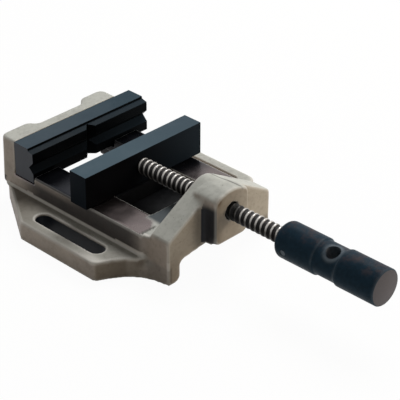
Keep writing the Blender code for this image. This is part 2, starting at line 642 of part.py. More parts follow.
def jaw_screw_seats():
    """Under the heads of the two screws that hold the carriage to the moving jaw."""
    height = CARRIAGE_UNDERSIDE + CARRIAGE_COUNTERBORE - SEAT_GAP
    return [("left", Vector((-JAW_SCREW_X, JAW_MIDDLE_Y, height))),
            ("right", Vector((JAW_SCREW_X, JAW_MIDDLE_Y, height)))]


def keeper_screw_seats():
    """Under the heads of the four screws that hold the keeper to the carriage."""
    middle_y = (CARRIAGE_FRONT_Y + CARRIAGE_BACK_Y) / 2
    height = KEEPER_TOP - KEEPER_THICKNESS + KEEPER_COUNTERBORE - SEAT_GAP
    return [Vector((side_x * KEEPER_SCREW_X, middle_y + side_y * KEEPER_SCREW_SPACING / 2, height))
            for side_x in (-1, 1) for side_y in (-1, 1)]


def make_moving_jaw():
    """Plain steel bar, bored from the back for the spindle and from below for pins and screws."""
    outline = rectangle(JAW_OFFSET - JAW_WIDTH / 2, JAW_OFFSET + JAW_WIDTH / 2,
                        JAW_BACK_Y, JAW_FACE_Y, STEEL_EDGE)
    jaw = slab("moving_jaw_bar", outline, JAW_UNDERSIDE, JAW_UNDERSIDE + JAW_HEIGHT, upright,
               (STEEL_EDGE / 2, STEEL_EDGE), (STEEL_EDGE / 2, STEEL_EDGE))
    cut(jaw, rod("journal_bore", JOURNAL_RADIUS + SEAT_GAP, OVERCUT + JOURNAL_LENGTH + SEAT_GAP,
                 (0, 1, 0), (0, JAW_BACK_Y - OVERCUT, SPINDLE_HEIGHT)))
    for side, seat in retaining_pin_seats():
        start = Vector((seat.x, seat.y, JAW_UNDERSIDE - OVERCUT))
        cut(jaw, rod("pin_hole", RETAINING_PIN_RADIUS + SEAT_GAP,
                     RETAINING_PIN_LENGTH + OVERCUT + 2 * SEAT_GAP, (0, 0, 1), start))
    for side, seat in jaw_screw_seats():
        start = Vector((seat.x, seat.y, JAW_UNDERSIDE - OVERCUT))
        cut(jaw, rod("tapped_hole", M6_SCREW[0] + SEAT_GAP, JAW_SCREW_DEPTH + OVERCUT + SEAT_GAP,
                     (0, 0, 1), start))
    return jaw


def make_carriage():
    """Block that guides the moving jaw in the channel between the rails."""
    half_width = CHANNEL_HALF_WIDTH - SEAT_GAP
    outline = rectangle(-half_width, half_width, CARRIAGE_FRONT_Y, CARRIAGE_BACK_Y, STEEL_EDGE)
    carriage = slab("jaw_carriage", outline, CARRIAGE_UNDERSIDE, CARRIAGE_TOP, upright)
    shank, head, head_height, key = M6_SCREW
    for side, seat in jaw_screw_seats():
        start = Vector((seat.x, seat.y, CARRIAGE_UNDERSIDE - OVERCUT))
        cut(carriage, rod("counterbore", head + HEAD_CLEARANCE, CARRIAGE_COUNTERBORE + OVERCUT,
                          (0, 0, 1), start),
            rod("screw_hole", shank + SEAT_GAP, RAIL_THICKNESS + 2 * OVERCUT, (0, 0, 1), start))
    for seat in keeper_screw_seats():
        start = Vector((seat.x, seat.y, CARRIAGE_UNDERSIDE - OVERCUT))
        cut(carriage, rod("tapped_hole", M4_SCREW[0] + SEAT_GAP,
                          KEEPER_SCREW_DEPTH + OVERCUT + SEAT_GAP, (0, 0, 1), start))
    return carriage


def make_keeper():
    """Plate below the rails that keeps the moving jaw from lifting."""
    back = JAW_FACE_Y + KEEPER_BACK_OVERHANG
    outline = rectangle(-KEEPER_HALF_WIDTH, KEEPER_HALF_WIDTH, back - KEEPER_LENGTH, back,
                        2 * STEEL_EDGE)
    underside = KEEPER_TOP - KEEPER_THICKNESS
    keeper = slab("keeper_plate", outline, underside, KEEPER_TOP, upright)
    shank, head, head_height, key = M4_SCREW
    for seat in keeper_screw_seats():
        start = Vector((seat.x, seat.y, underside - OVERCUT))
        cut(keeper, rod("counterbore", head + HEAD_CLEARANCE, KEEPER_COUNTERBORE + OVERCUT,
                        (0, 0, 1), start),
            rod("screw_hole", shank + SEAT_GAP, KEEPER_THICKNESS + 2 * OVERCUT, (0, 0, 1), start))
    return keeper


def make_jaw_fixings():
    """Retaining pins, jaw screws and keeper screws of the moving jaw."""
    upwards = Vector((0, 0, 1))
    pins = [rod("spindle_pin_" + side, RETAINING_PIN_RADIUS, RETAINING_PIN_LENGTH, upwards, seat)
            for side, seat in retaining_pin_seats()]
    screws = []
    for side, seat in jaw_screw_seats():
        reach = JAW_UNDERSIDE + JAW_SCREW_DEPTH - seat.z
        screws.append(socket_screw("jaw_screw_" + side, M6_SCREW, reach, upwards, seat))
    for number, seat in enumerate(keeper_screw_seats(), start=1):
        reach = CARRIAGE_UNDERSIDE + KEEPER_SCREW_DEPTH - seat.z
        screws.append(socket_screw("keeper_screw_" + str(number), M4_SCREW, reach, upwards, seat))
    return pins, screws


def make_spindle():
    """Spindle from its tang in the handle to the journal and neck in the moving jaw."""
    thread_end = SPINDLE_REACH - SEAT_GAP
    neck_middle = SPINDLE_REACH + NECK_SETBACK
    neck_half = RETAINING_PIN_RADIUS + SEAT_GAP
    spindle = turned("spindle", [
        (-TANG_LENGTH, TANG_RADIUS),
        (SEAT_GAP, TANG_RADIUS),
        (SEAT_GAP, THREAD_RADIUS),
        (thread_end, THREAD_RADIUS),
        (thread_end, JOURNAL_RADIUS),
        (neck_middle - neck_half, JOURNAL_RADIUS),
        (neck_middle - neck_half, NECK_RADIUS),
        (neck_middle + neck_half, NECK_RADIUS),
        (neck_middle + neck_half, JOURNAL_RADIUS),
        (SPINDLE_REACH + JOURNAL_LENGTH, JOURNAL_RADIUS),
    ], 2 * SMALL_SEGMENTS)
    point_along(spindle, (0, 1, 0), (0, HANDLE_FRONT_Y, SPINDLE_HEIGHT))
    cut(spindle, handle_pin("pin_hole", HANDLE_PIN_RADIUS + SEAT_GAP, HANDLE_RADIUS))
    return spindle


def handle_pin(name, radius, half_length):
    """Pin across the handle, or the hole for it."""
    direction = Vector((math.sin(HANDLE_PIN_TILT), 0, math.cos(HANDLE_PIN_TILT)))
    middle = Vector((0, HANDLE_FRONT_Y - HANDLE_PIN_SETBACK, SPINDLE_HEIGHT))
    return rod(name, radius, 2 * half_length, direction, middle - direction * half_length)


def make_handle():
    """Turned barrel with a round nose, a waist and a cross hole for a tommy bar."""
    nose = [(HANDLE_NOSE_RADIUS * (1 - math.cos(angle)),
             HANDLE_RADIUS - HANDLE_NOSE_RADIUS * (1 - math.sin(angle)))
            for angle in (math.radians(90) * step / 4 for step in range(5))]
    waist_end = WAIST_START + WAIST_LENGTH
    handle = turned("handle_barrel", nose + [
        (WAIST_START, HANDLE_RADIUS),
        (WAIST_START + WAIST_RUN_OUT / 4, WAIST_RADIUS),
        (waist_end - WAIST_RUN_OUT, WAIST_RADIUS),
        (waist_end, HANDLE_RADIUS),
        (HANDLE_LENGTH - HANDLE_CHAMFER, HANDLE_RADIUS),
        (HANDLE_LENGTH, HANDLE_RADIUS - HANDLE_CHAMFER),
    ], LARGE_SEGMENTS)
    backwards = Vector((0, -1, 0))
    point_along(handle, backwards, (0, HANDLE_FRONT_Y, SPINDLE_HEIGHT))
    across = Vector((math.sin(CROSS_HOLE_TILT), 0, math.cos(CROSS_HOLE_TILT)))
    middle = Vector((0, HANDLE_FRONT_Y - CROSS_HOLE_SETBACK, SPINDLE_HEIGHT))
    half_length = HANDLE_RADIUS + OVERCUT
    cut(handle,
        rod("tang_bore", TANG_RADIUS + SEAT_GAP, TANG_LENGTH + SEAT_GAP + OVERCUT, backwards,
            (0, HANDLE_FRONT_Y + OVERCUT, SPINDLE_HEIGHT)),
        rod("cross_hole", CROSS_HOLE_RADIUS, 2 * half_length, across, middle - across * half_length),
        handle_pin("pin_hole", HANDLE_PIN_RADIUS + SEAT_GAP, HANDLE_RADIUS + OVERCUT))
    return handle


def material(name, colour, roughness, metallic):
    """Principled material. The colour is linear."""
    made = bpy.data.materials.new(name)
    made.use_nodes = True
    shader = made.node_tree.nodes["Principled BSDF"]
    shader.inputs["Base Color"].default_value = (*colour, 1)
    shader.inputs["Roughness"].default_value = roughness
    shader.inputs["Metallic"].default_value = metallic
    return made


def finish(pieces, surface):
    """Give pieces their material and smooth round faces."""
    for piece in pieces:
        piece.data.materials.clear()
        piece.data.materials.append(surface)
        piece.data.shade_smooth()
        piece.data.set_sharp_from_angle(angle=math.radians(32))


def carry(name, location, pieces):
    """Parent pieces to an empty on their joint's axis, and leave them where they are."""
    carrier = bpy.data.objects.new(name, None)
    carrier.location = location
    bpy.context.scene.collection.objects.link(carrier)
    for piece in pieces:
        piece.parent = carrier
        piece.matrix_parent_inverse = Matrix.Translation(location).inverted()
    return carrier


def main():
    for old in list(bpy.data.objects):
        bpy.data.objects.remove(old)

    plate_screws, washers = make_plate_fixings()
    pins, jaw_screws = make_jaw_fixings()
    jaw_bar = make_moving_jaw()
    carriage = make_carriage()
    keeper = make_keeper()
    spindle = make_spindle()
    handle = make_handle()
    handle_pin_piece = handle_pin("handle_pin", HANDLE_PIN_RADIUS, HANDLE_RADIUS - SEAT_GAP)

    finish([make_base()], material("plated_cast_iron", (0.42, 0.41, 0.38), 0.45, 0.6))
    finish([make_fixed_plate()], material("blued_steel_plate", (0.035, 0.05, 0.065), 0.45, 0.5))
    finish([jaw_bar], material("blued_steel_bar", (0.035, 0.05, 0.065), 0.45, 0.5))
    finish([carriage, keeper], material("dark_steel", (0.06, 0.06, 0.065), 0.5, 0.6))
    finish([make_nut()], material("dark_bush_steel", (0.05, 0.05, 0.06), 0.5, 0.6))
    finish([spindle], material("bright_steel", (0.6, 0.6, 0.6), 0.25, 1.0))
    finish([handle], material("browned_steel", (0.02, 0.03, 0.04), 0.4, 0.6))
    finish([handle_pin_piece] + pins, material("pin_steel", (0.45, 0.45, 0.45), 0.3, 1.0))
    finish(plate_screws + jaw_screws + washers + [make_lock_screw()],
           material("black_oxide", (0.03, 0.03, 0.03), 0.5, 0.7))

    jaw_carrier = carry("jaw_slide", Vector((0, JAW_BACK_Y, SPINDLE_HEIGHT)),
                        [jaw_bar, carriage, keeper] + pins + jaw_screws)
    screw_carrier = carry("screw_turn", Vector((0, HANDLE_FRONT_Y, SPINDLE_HEIGHT)),
                          [spindle, handle, handle_pin_piece])
    screw_carrier.parent = jaw_carrier
    screw_carrier.matrix_parent_inverse = Matrix.Translation(jaw_carrier.location).inverted()


main()
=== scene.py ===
import math

import bmesh
import bpy
import numpy as np
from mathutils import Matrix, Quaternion, Vector


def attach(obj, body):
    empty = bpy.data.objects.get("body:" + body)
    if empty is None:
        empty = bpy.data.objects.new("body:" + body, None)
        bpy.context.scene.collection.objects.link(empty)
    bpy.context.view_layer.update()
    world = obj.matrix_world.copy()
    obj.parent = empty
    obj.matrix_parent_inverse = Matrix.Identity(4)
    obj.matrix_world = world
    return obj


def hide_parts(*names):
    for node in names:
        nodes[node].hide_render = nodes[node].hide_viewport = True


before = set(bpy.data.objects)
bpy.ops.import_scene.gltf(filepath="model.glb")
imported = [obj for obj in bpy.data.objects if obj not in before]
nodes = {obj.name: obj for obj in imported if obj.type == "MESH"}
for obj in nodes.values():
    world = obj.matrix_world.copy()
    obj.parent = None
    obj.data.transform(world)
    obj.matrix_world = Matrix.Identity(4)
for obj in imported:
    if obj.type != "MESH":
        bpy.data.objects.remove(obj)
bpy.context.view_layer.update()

mm = 0.001
print("frame loaded:", len(nodes), "nodes")


# small helpers for colours and material nodes

def linearColour(hexColour):
    # each channel: c / 12.92 below 0.04045, otherwise ((c + 0.055) / 1.055) to the power 2.4
    channels = [int(hexColour[i:i + 2], 16) / 255 for i in (1, 3, 5)]
    linear = [c / 12.92 if c <= 0.04045 else ((c + 0.055) / 1.055) ** 2.4 for c in channels]
    return (*linear, 1.0)


def feed(tree, node, inputs):
    # sockets are linked, plain values are set on the node's own input
    for key, value in inputs.items():
        if isinstance(value, bpy.types.NodeSocket):
            tree.links.new(value, node.inputs[key])
        else:
            node.inputs[key].default_value = value


def addNode(tree, kind, inputs=None, **settings):
    node = tree.nodes.new(kind)
    for name, value in settings.items():
        setattr(node, name, value)
    feed(tree, node, inputs or {})
    return node


def newMaterial(name):
    material = bpy.data.materials.new(name)
    material.use_nodes = True
    tree = material.node_tree
    return material, tree, tree.nodes["Principled BSDF"]


def mixColours(tree, amount, first, second):
    # first where amount is 0, second where it is 1
    return addNode(tree, "ShaderNodeMix", {"Factor": amount, "A": first, "B": second},
                   data_type="RGBA").outputs["Result"]


def ramp(tree, value, low, high, outLow=0.0, outHigh=1.0):
    # smooth step from outLow at low to outHigh at high
    limits = {"From Min": low, "From Max": high, "To Min": outLow, "To Max": outHigh}
    return addNode(tree, "ShaderNodeMapRange", {"Value": value, **limits},
                   interpolation_type="SMOOTHSTEP").outputs["Result"]


def math2(tree, operation, first, second):
    return addNode(tree, "ShaderNodeMath", {0: first, 1: second}, operation=operation).outputs[0]


def noise(tree, coordinates, grainMm, detail=3.0, roughness=0.55):
    # one grain is about half a cell, and object coordinates are in metres
    return addNode(tree, "ShaderNodeTexNoise",
                   {"Vector": coordinates, "Scale": 0.5 / (grainMm * mm), "Detail": detail,
                    "Roughness": roughness}).outputs["Fac"]


def bump(tree, height, distanceMm, strength):
    return addNode(tree, "ShaderNodeBump", {"Height": height, "Distance": distanceMm * mm,
                                            "Strength": strength}).outputs["Normal"]


def objectCoordinates(tree):
    return addNode(tree, "ShaderNodeTexCoord").outputs["Object"]


def stretched(tree, coordinates, scale):
    return addNode(tree, "ShaderNodeMapping", {"Vector": coordinates, "Scale": scale}).outputs[0]


def normalParts(tree):
    # x, y and z of the face direction; the pieces stand unturned at the origin
    normal = addNode(tree, "ShaderNodeTexCoord").outputs["Normal"]
    return addNode(tree, "ShaderNodeSeparateXYZ", {0: normal}).outputs


def layerValue(tree, name):
    # the number that addLayer wrote on each vertex
    return addNode(tree, "ShaderNodeAttribute", attribute_name=name).outputs["Fac"]


# small helpers for meshes

def smoothStep(values, low, high):
    # 0 up to low and 1 from high on; between them 3 s squared minus 2 s cubed of the share s
    share = np.clip((values - low) / (high - low), 0, 1)
    return share * share * (3 - 2 * share)


def fallStep(values, low, high):
    # 1 up to low and 0 from high on
    return smoothStep(-values, -high, -low)


def gauss(distance, width):
    # 1 at no distance, falling as e to the power of minus the squared share of the width
    return np.exp(-(distance / width) ** 2)


def gridFaces(rows, columns):
    # quads between neighbouring rows, wrapping round in the column direction
    r, c = np.meshgrid(np.arange(rows - 1), np.arange(columns), indexing="ij")
    following = (c + 1) % columns
    return np.stack([r * columns + c, r * columns + following,
                     (r + 1) * columns + following, (r + 1) * columns + c], -1).reshape(-1, 4)


def turned(along, radius, angles, height):
    # surface of revolution about the spindle's middle line: angle t turns from +Z towards +X, so its
    # point lies radius times sine t to the right and radius times cosine t above the line
    return np.stack([radius * np.sin(angles), along + 0 * angles, height + radius * np.cos(angles)], -1)


def meshObject(name, points, faces, smooth=True):
    # open ends are closed and all faces turned outward
    mesh = bpy.data.meshes.new(name)
    mesh.from_pydata(np.asarray(points).reshape(-1, 3).tolist(), [], np.asarray(faces).tolist())
    shape = bmesh.new()
    shape.from_mesh(mesh)
    bmesh.ops.remove_doubles(shape, verts=shape.verts, dist=1e-6)
    bmesh.ops.holes_fill(shape, edges=shape.edges)
    bmesh.ops.recalc_face_normals(shape, faces=shape.faces)
    shape.to_mesh(mesh)
    shape.free()
    if smooth:
        mesh.shade_smooth()
    piece = bpy.data.objects.new(name, mesh)
    bpy.context.scene.collection.objects.link(piece)
    return piece


def vertexValues(mesh, what):
    # one row of three numbers for each vertex, where what is "co" or "normal"
    values = np.empty(len(mesh.vertices) * 3)
    mesh.vertices.foreach_get(what, values)
    return values.reshape(-1, 3)


def addLayer(mesh, name, values):
    # one number for each vertex, which a material reads with layerValue
    layer = mesh.attributes.new(name, "FLOAT", "POINT")
    layer.data.foreach_set("value", np.ascontiguousarray(values, np.float32))


def applyModifiers(piece):
    # bakes the live modifiers into the piece's own mesh
    bpy.context.view_layer.update()
    evaluated = piece.evaluated_get(bpy.context.evaluated_depsgraph_get())
    result = bpy.data.meshes.new_from_object(evaluated)
    piece.modifiers.clear()
    piece.data = result


def dress(piece, material):
    piece.data.materials.clear()
    piece.data.materials.append(material)


def standIn(piece, node, body, material):
    # the piece takes the place of one CAD node
    dress(piece, material)
    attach(piece, body)
    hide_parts(node)


# camera, lights, world and floor

cameraValues = {
    "place": (-0.67688, -0.65334, 0.61211),                     # metres
    "azimuth": -45.816, "elevation": 31.271, "roll": 0.161,     # degrees
    "lens": 148.46, "sensor": 36.0,                             # mm
    "clip": (0.01, 20.0),                                       # metres
}


def makeCamera(values):
    data = bpy.data.cameras.new("photoCamera")
    data.sensor_width = values["sensor"]
    data.lens = values["lens"]
    data.clip_start, data.clip_end = values["clip"]
    camera = bpy.data.objects.new("photoCamera", data)
    bpy.context.scene.collection.objects.link(camera)
    camera.location = values["place"]
    azimuth, elevation = math.radians(values["azimuth"]), math.radians(values["elevation"])
    back = Vector((math.sin(azimuth) * math.cos(elevation),
                   -math.cos(azimuth) * math.cos(elevation), math.sin(elevation)))
    camera.rotation_mode = "QUATERNION"
    camera.rotation_quaternion = ((-back).to_track_quat("-Z", "Y")
                                  @ Quaternion((0, 0, 1), math.radians(values["roll"])))
    bpy.context.scene.camera = camera


lightValues = {
    # name: (place, size in metres, watts, hex colour)
    "mainSoftbox": ((0.95, 0.35, 1.5), 1.1, 25.0, "#ffffff"),
    "rightFrontSoftbox": ((1.0, -1.2, 0.5), 0.8, 11.0, "#fff4e6"),
}
lightAim = (0, 0, 0.03)


def makeLights(values, aim):
    for name, (place, size, watts, colour) in values.items():
        data = bpy.data.lights.new(name, "AREA")
        data.shape = "DISK"
        data.size = size
        data.energy = watts
        data.color = linearColour(colour)[:3]
        lamp = bpy.data.objects.new(name, data)
        bpy.context.scene.collection.objects.link(lamp)
        lamp.location = place
        lamp.rotation_euler = (Vector(aim) - Vector(place)).to_track_quat("-Z", "Y").to_euler()


def seenDirectly(tree):
    # 1 for what the camera, a mirror or clear glass shows
    path = addNode(tree, "ShaderNodeLightPath")
    first = math2(tree, "MAXIMUM", path.outputs["Is Camera Ray"], path.outputs["Is Glossy Ray"])
    return math2(tree, "MAXIMUM", first, path.outputs["Is Transmission Ray"])


ambient = {"level": 0.22, "colour": "#fbf7f2"}


def makeWorld(values):
    # plain white to the eye, and a dim warm light on the vise
    world = bpy.data.worlds.new("studio")
    world.use_nodes = True
    tree = world.node_tree
    tree.nodes.clear()
    dim = addNode(tree, "ShaderNodeBackground",
                  {"Color": linearColour(values["colour"]), "Strength": values["level"]})
    white = addNode(tree, "ShaderNodeBackground", {"Color": (1, 1, 1, 1), "Strength": 1.0})
    mix = addNode(tree, "ShaderNodeMixShader",
                  {0: seenDirectly(tree), 1: dim.outputs[0], 2: white.outputs[0]})
    addNode(tree, "ShaderNodeOutputWorld", {"Surface": mix.outputs[0]})
    bpy.context.scene.world = world


floorValues = {
    "half": 6.0, "drop": 0.0004,     # metres
    "paper": "#f2f1ee", "roughness": 0.9, "sheen": 0.1, "whiteShare": 0.96,
}


def makeFloor(values):
    # white paper sweep: mostly plain white to the eye, and it keeps a faint shadow
    half, low = values["half"], -values["drop"]
    corners = [(-half, -half, low), (half, -half, low), (half, half, low), (-half, half, low)]
    floor = meshObject("floor", corners, [(0, 1, 2, 3)], smooth=False)
    material, tree, shader = newMaterial("whitePaper")
    feed(tree, shader, {"Base Color": linearColour(values["paper"]), "Roughness": values["roughness"],
                        "Specular IOR Level": values["sheen"]})
    glow = addNode(tree, "ShaderNodeEmission", {"Color": (1, 1, 1, 1), "Strength": 1.0})
    share = math2(tree, "MULTIPLY", seenDirectly(tree), values["whiteShare"])
    mix = addNode(tree, "ShaderNodeMixShader", {0: share, 1: shader.outputs[0], 2: glow.outputs[0]})
    feed(tree, tree.nodes["Material Output"], {"Surface": mix.outputs[0]})
    dress(floor, material)


bpy.context.scene.view_settings.view_transform = "Standard"
makeCamera(cameraValues)
makeLights(lightValues, lightAim)
makeWorld(ambient)
makeFloor(floorValues)
print("camera, lights and floor ready")


# materials

castingLook = {
    "top": "#babbb4", "side": "#a79d93", "front": "#b3aa9b",       # the plating with painted light by direction: paler on top, darker and warmer on the sides
    # the machined colour is painted darker, partly as a painted reflection of the jaws; the wear colour
    # also gives painted highlights, the oil and stain colours also give painted shade, and deep gives
    # painted deep shade
    "deck": "#4b5154", "machined": "#6c6362", "wear": "#dcd9d2",
    "oilAndShade": "#2e2a25", "stainAndShade": "#54432f", "deep": "#0a121c",
    "cloudMm": 9.0, "cloudShare": 0.16, "mottleMm": 1.6, "mottleShare": 0.14,
    "pitMm": 0.7, "pitShare": 0.6,
    "grainMm": 0.5, "grainShare": 0.35, "waveMm": 3.0, "reliefMm": 0.1,
    "roughness": 0.46, "milledRoughness": 0.24, "sheen": 0.1,
}


def platedCasting(look):
    # satin nickel plate over cast iron: a soft grey sheen on a finely grained skin, painted paler on its
    # upper faces and darker and warmer on its sides as painted light, brown where old oil has dried,
    # painted shade where the light is hidden, a few pits; the milled rails are painted darker, partly as
    # a painted reflection of the jaws, and mirror what stands on them
    material, tree, shader = newMaterial("satinPlatedCastIron")
    place = objectCoordinates(tree)
    facing = normalParts(tree)
    # painted light: upper faces paler, fronts and sides darker and warmer
    upward = ramp(tree, facing["Z"], 0.15, 0.9)
    forward = ramp(tree, facing["Y"], -0.3, -0.95)
    colour = mixColours(tree, forward, linearColour(look["side"]), linearColour(look["front"]))
    colour = mixColours(tree, upward, colour, linearColour(look["top"]))
    cloud = noise(tree, place, look["cloudMm"], 4.0, 0.6)
    mottle = noise(tree, place, look["mottleMm"], 3.0, 0.6)
    pits = noise(tree, place, look["pitMm"], 1.0)
    for amount in (ramp(tree, cloud, 0.45, 0.72, 0.0, look["cloudShare"]),
                   ramp(tree, mottle, 0.45, 0.7, 0.0, look["mottleShare"]),
                   ramp(tree, pits, 0.74, 0.8, 0.0, look["pitShare"])):
        colour = mixColours(tree, amount, colour, linearColour(look["oilAndShade"]))
    # the areas that castingMasks gives lie over each other in this order
    shades = {"stainedAndShaded": "stainAndShade", "deck": "deck", "milled": "machined", "paintedShade": "oilAndShade",
              "shaded": "deep", "edgeWearAndHighlight": "wear"}
    masks = {name: layerValue(tree, name) for name in shades}
    for name, shade in shades.items():
        colour = mixColours(tree, masks[name], colour, linearColour(look[shade]))
    milled = masks["milled"]
    roughness = ramp(tree, milled, 0.0, 1.0, look["roughness"], look["milledRoughness"])
    grain = math2(tree, "MULTIPLY", noise(tree, place, look["grainMm"], 2.0), look["grainShare"])
    height = math2(tree, "ADD", grain, noise(tree, place, look["waveMm"], 2.0))
    height = math2(tree, "MULTIPLY", height, ramp(tree, milled, 0.0, 1.0, 1.0, 0.1))
    feed(tree, shader, {
        "Base Color": colour, "Metallic": milled,
        "Roughness": math2(tree, "ADD", roughness, ramp(tree, cloud, 0.3, 0.7, -0.03, 0.05)),
        "Specular IOR Level": look["sheen"], "Normal": bump(tree, height, look["reliefMm"], 0.5),
    })
    return material


# painted light: each pair is the colour at the jaw's left and at its right, lighter to the right where
# more light falls
plateLook = {
    "top": ("#424e57", "#33434d"), "slope": ("#0a1014", "#141d24"), "face": ("#030405", "#06090c"),
    "leftEnd": "#5b5e64", "wear": "#69747c", "sheen": 0.02, "millMm": 0.7, "cloudMm": 9.0,
}
barLook = {
    "top": ("#495a64", "#42515b"), "slope": ("#182027", "#182027"), "face": ("#040405", "#1b232a"),
    "leftEnd": "#0d1319", "wear": "#77828b", "sheen": 0.02, "millMm": 0.7, "cloudMm": 9.0,
}


def bluedSteel(name, look):
    # blue-black oxide on milled steel: the top painted slate as a painted reflection of the lamps above,
    # with lighter worn patches, deep black faces as painted shade, painted light on the left end and
    # towards the right, fine milling lines
    material, tree, shader = newMaterial(name)
    place = objectCoordinates(tree)
    facing = normalParts(tree)
    cloud = noise(tree, place, look["cloudMm"], 4.0)
    along = addNode(tree, "ShaderNodeSeparateXYZ", {0: place}).outputs["X"]
    rightward = ramp(tree, along, -20 * mm, 60 * mm)
    shades = {part: mixColours(tree, rightward, linearColour(look[part][0]), linearColour(look[part][1]))
              for part in ("face", "slope", "top")}
    atLeftEnd = math2(tree, "MULTIPLY", ramp(tree, facing["X"], -0.5, -0.95),
                      ramp(tree, along, -30 * mm, -40 * mm))
    colour = mixColours(tree, atLeftEnd, shades["face"], linearColour(look["leftEnd"]))
    colour = mixColours(tree, ramp(tree, facing["Z"], 0.3, 0.75), colour, shades["slope"])
    colour = mixColours(tree, ramp(tree, facing["Z"], 0.96, 0.995), colour, shades["top"])
    lighter = mixColours(tree, 0.35, colour, linearColour(look["wear"]))
    patches = math2(tree, "MULTIPLY", ramp(tree, cloud, 0.4, 0.75, 0.0, 0.35),
                    ramp(tree, facing["Z"], 0.96, 0.995, 0.03, 1.0))
    # milling runs along the jaw, so the pattern is stretched forty times in X
    lines = noise(tree, stretched(tree, place, (0.025, 1.0, 1.0)), look["millMm"], 2.0)
    feed(tree, shader, {
        "Base Color": mixColours(tree, patches, colour, lighter),
        "Roughness": ramp(tree, cloud, 0.3, 0.7, 0.38, 0.52),
        "Specular IOR Level": look["sheen"], "Normal": bump(tree, lines, 0.05, 0.4),
    })
    return material


handleLook = {
    "body": "#1a2d3a", "dark": "#0b161d", "paintedTopSheen": "#453b3c", "wear": "#626c74", "end": "#5c5657",
    "cloudMm": 4.0, "mottleMm": 1.4, "latheMm": 0.35, "sheen": 0.04,
}


def brownedSteel(look):
    # turned steel with a browned blue-black finish: a painted brown sheen on its upper side, slate where
    # the hole and the rims are worn, fine lathe marks
    material, tree, shader = newMaterial("brownedTurnedSteel")
    place = objectCoordinates(tree)
    facing = normalParts(tree)
    cloud = noise(tree, place, look["cloudMm"], 4.0, 0.65)
    paintedTopSheen = math2(tree, "MULTIPLY", ramp(tree, facing["Z"], 0.55, 1.0),
                  ramp(tree, cloud, 0.42, 0.7, 0.0, 0.7))
    mottle = ramp(tree, noise(tree, place, look["mottleMm"], 3.0), 0.35, 0.65, 0.0, 0.3)
    endFace = ramp(tree, facing["Y"], -0.9, -0.99)
    worn = math2(tree, "MULTIPLY", layerValue(tree, "worn"), ramp(tree, cloud, 0.25, 0.6, 0.35, 0.9))
    colour = linearColour(look["body"])
    for amount, shade in ((mottle, "dark"), (paintedTopSheen, "paintedTopSheen"), (endFace, "end"), (worn, "wear")):
        colour = mixColours(tree, amount, colour, linearColour(look[shade]))
    # lathe marks run round the barrel, so the pattern is stretched across it
    rings = noise(tree, stretched(tree, place, (0.02, 1.0, 0.02)), look["latheMm"], 2.0)
    feed(tree, shader, {
        "Base Color": colour, "Roughness": ramp(tree, cloud, 0.3, 0.7, 0.36, 0.5),
        "Specular IOR Level": look["sheen"], "Normal": bump(tree, rings, 0.03, 0.4),
    })
    return material


threadLook = {"crest": "#cac7c3", "root": "#2c2b2b", "greaseAndShade": "#050505", "metallic": 0.35, "sheen": 0.1}


def brightThread(look):
    # bright turned thread: polished crests, grey valleys, black where old grease has stayed and, as
    # painted shade, on the lower half
    material, tree, shader = newMaterial("brightTurnedThread")
    crest = layerValue(tree, "crest")
    colour = mixColours(tree, ramp(tree, crest, 0.55, 0.98), linearColour(look["root"]),
                        linearColour(look["crest"]))
    colour = mixColours(tree, layerValue(tree, "greaseAndLowerShade"), colour, linearColour(look["greaseAndShade"]))
    feed(tree, shader, {
        "Base Color": colour, "Metallic": look["metallic"], "Specular IOR Level": look["sheen"],
        "Roughness": ramp(tree, crest, 0.2, 0.9, 0.5, 0.27),
    })
    return material


steelLooks = {
    # name: (hex colour, metallic, sheen, roughness, grain in mm)
    "oiledDarkSteel": ("#0b0c0e", 0.0, 0.1, 0.4, 1.5),       # near black with a faint oily gleam
    "blackOxideScrews": ("#121315", 0.0, 0.2, 0.42, 0.8),    # soft black that catches a little light
    "drawnPinSteel": ("#9a9a98", 1.0, 0.5, 0.3, 0.6),        # plain grey, fairly bright
    "brownedPinSteel": ("#4c555c", 0.6, 0.2, 0.4, 0.9),      # a slate spot on the dark barrel
    "oiledBushSteel": ("#1a1817", 0.3, 0.2, 0.4, 0.8),       # a dark ring round the thread
}


def plainSteel(name, hexColour, metallic, sheen, roughness, grainMm):
    # drawn or oiled bar steel with fine scratches
    material, tree, shader = newMaterial(name)
    grain = noise(tree, objectCoordinates(tree), grainMm, 3.0)
    base = linearColour(hexColour)
    dark = tuple(0.6 * c for c in base[:3]) + (1.0,)
    feed(tree, shader, {
        "Base Color": mixColours(tree, ramp(tree, grain, 0.35, 0.65), dark, base),
        "Metallic": metallic, "Specular IOR Level": sheen,
        "Roughness": ramp(tree, grain, 0.3, 0.7, roughness, roughness + 0.12),
        "Normal": bump(tree, grain, 0.03, 0.4),
    })
    return material


castIron = platedCasting(castingLook)
plateSteel = bluedSteel("bluedPlateSteel", plateLook)
barSteel = bluedSteel("bluedBarSteel", barLook)
barrelSteel = brownedSteel(handleLook)
threadSteel = brightThread(threadLook)
steels = {name: plainSteel(name, *values) for name, values in steelLooks.items()}
print("materials ready")


# base casting: the CAD casting with softened edges, whose shades are painted on its vertices

castingShape = {
    "voxelMm": 0.9, "softeningPasses": 2, "easingPasses": 16, "passShare": 0.6, "curvaturePasses": 2,
    "railTopMm": 30.2, "railUndersideMm": 18.9,
    "tipFullMm": 4.0, "tipStartMm": 10.0,        # Y from which the flange's front tip leans in
    "tipLowMm": 7.0, "tipHighMm": 14.5,          # heights between which it leans in
    "seamDepthMm": 0.35, "seamWidthMm": 0.6,     # the casting's seam over the crown
}


def edgeNeighbours(mesh):
    edges = np.empty(len(mesh.edges) * 2, np.int64)
    mesh.edges.foreach_get("vertices", edges)
    return edges.reshape(-1, 2)


def neighbourMean(values, edges):
    # each vertex takes the mean of the vertices it shares an edge with
    total = np.zeros_like(values)
    np.add.at(total, edges[:, 0], values[edges[:, 1]])
    np.add.at(total, edges[:, 1], values[edges[:, 0]])
    degree = np.bincount(edges.ravel(), minlength=len(values)).astype(float)
    return total / np.maximum(degree, 1).reshape((-1,) + (1,) * (values.ndim - 1))


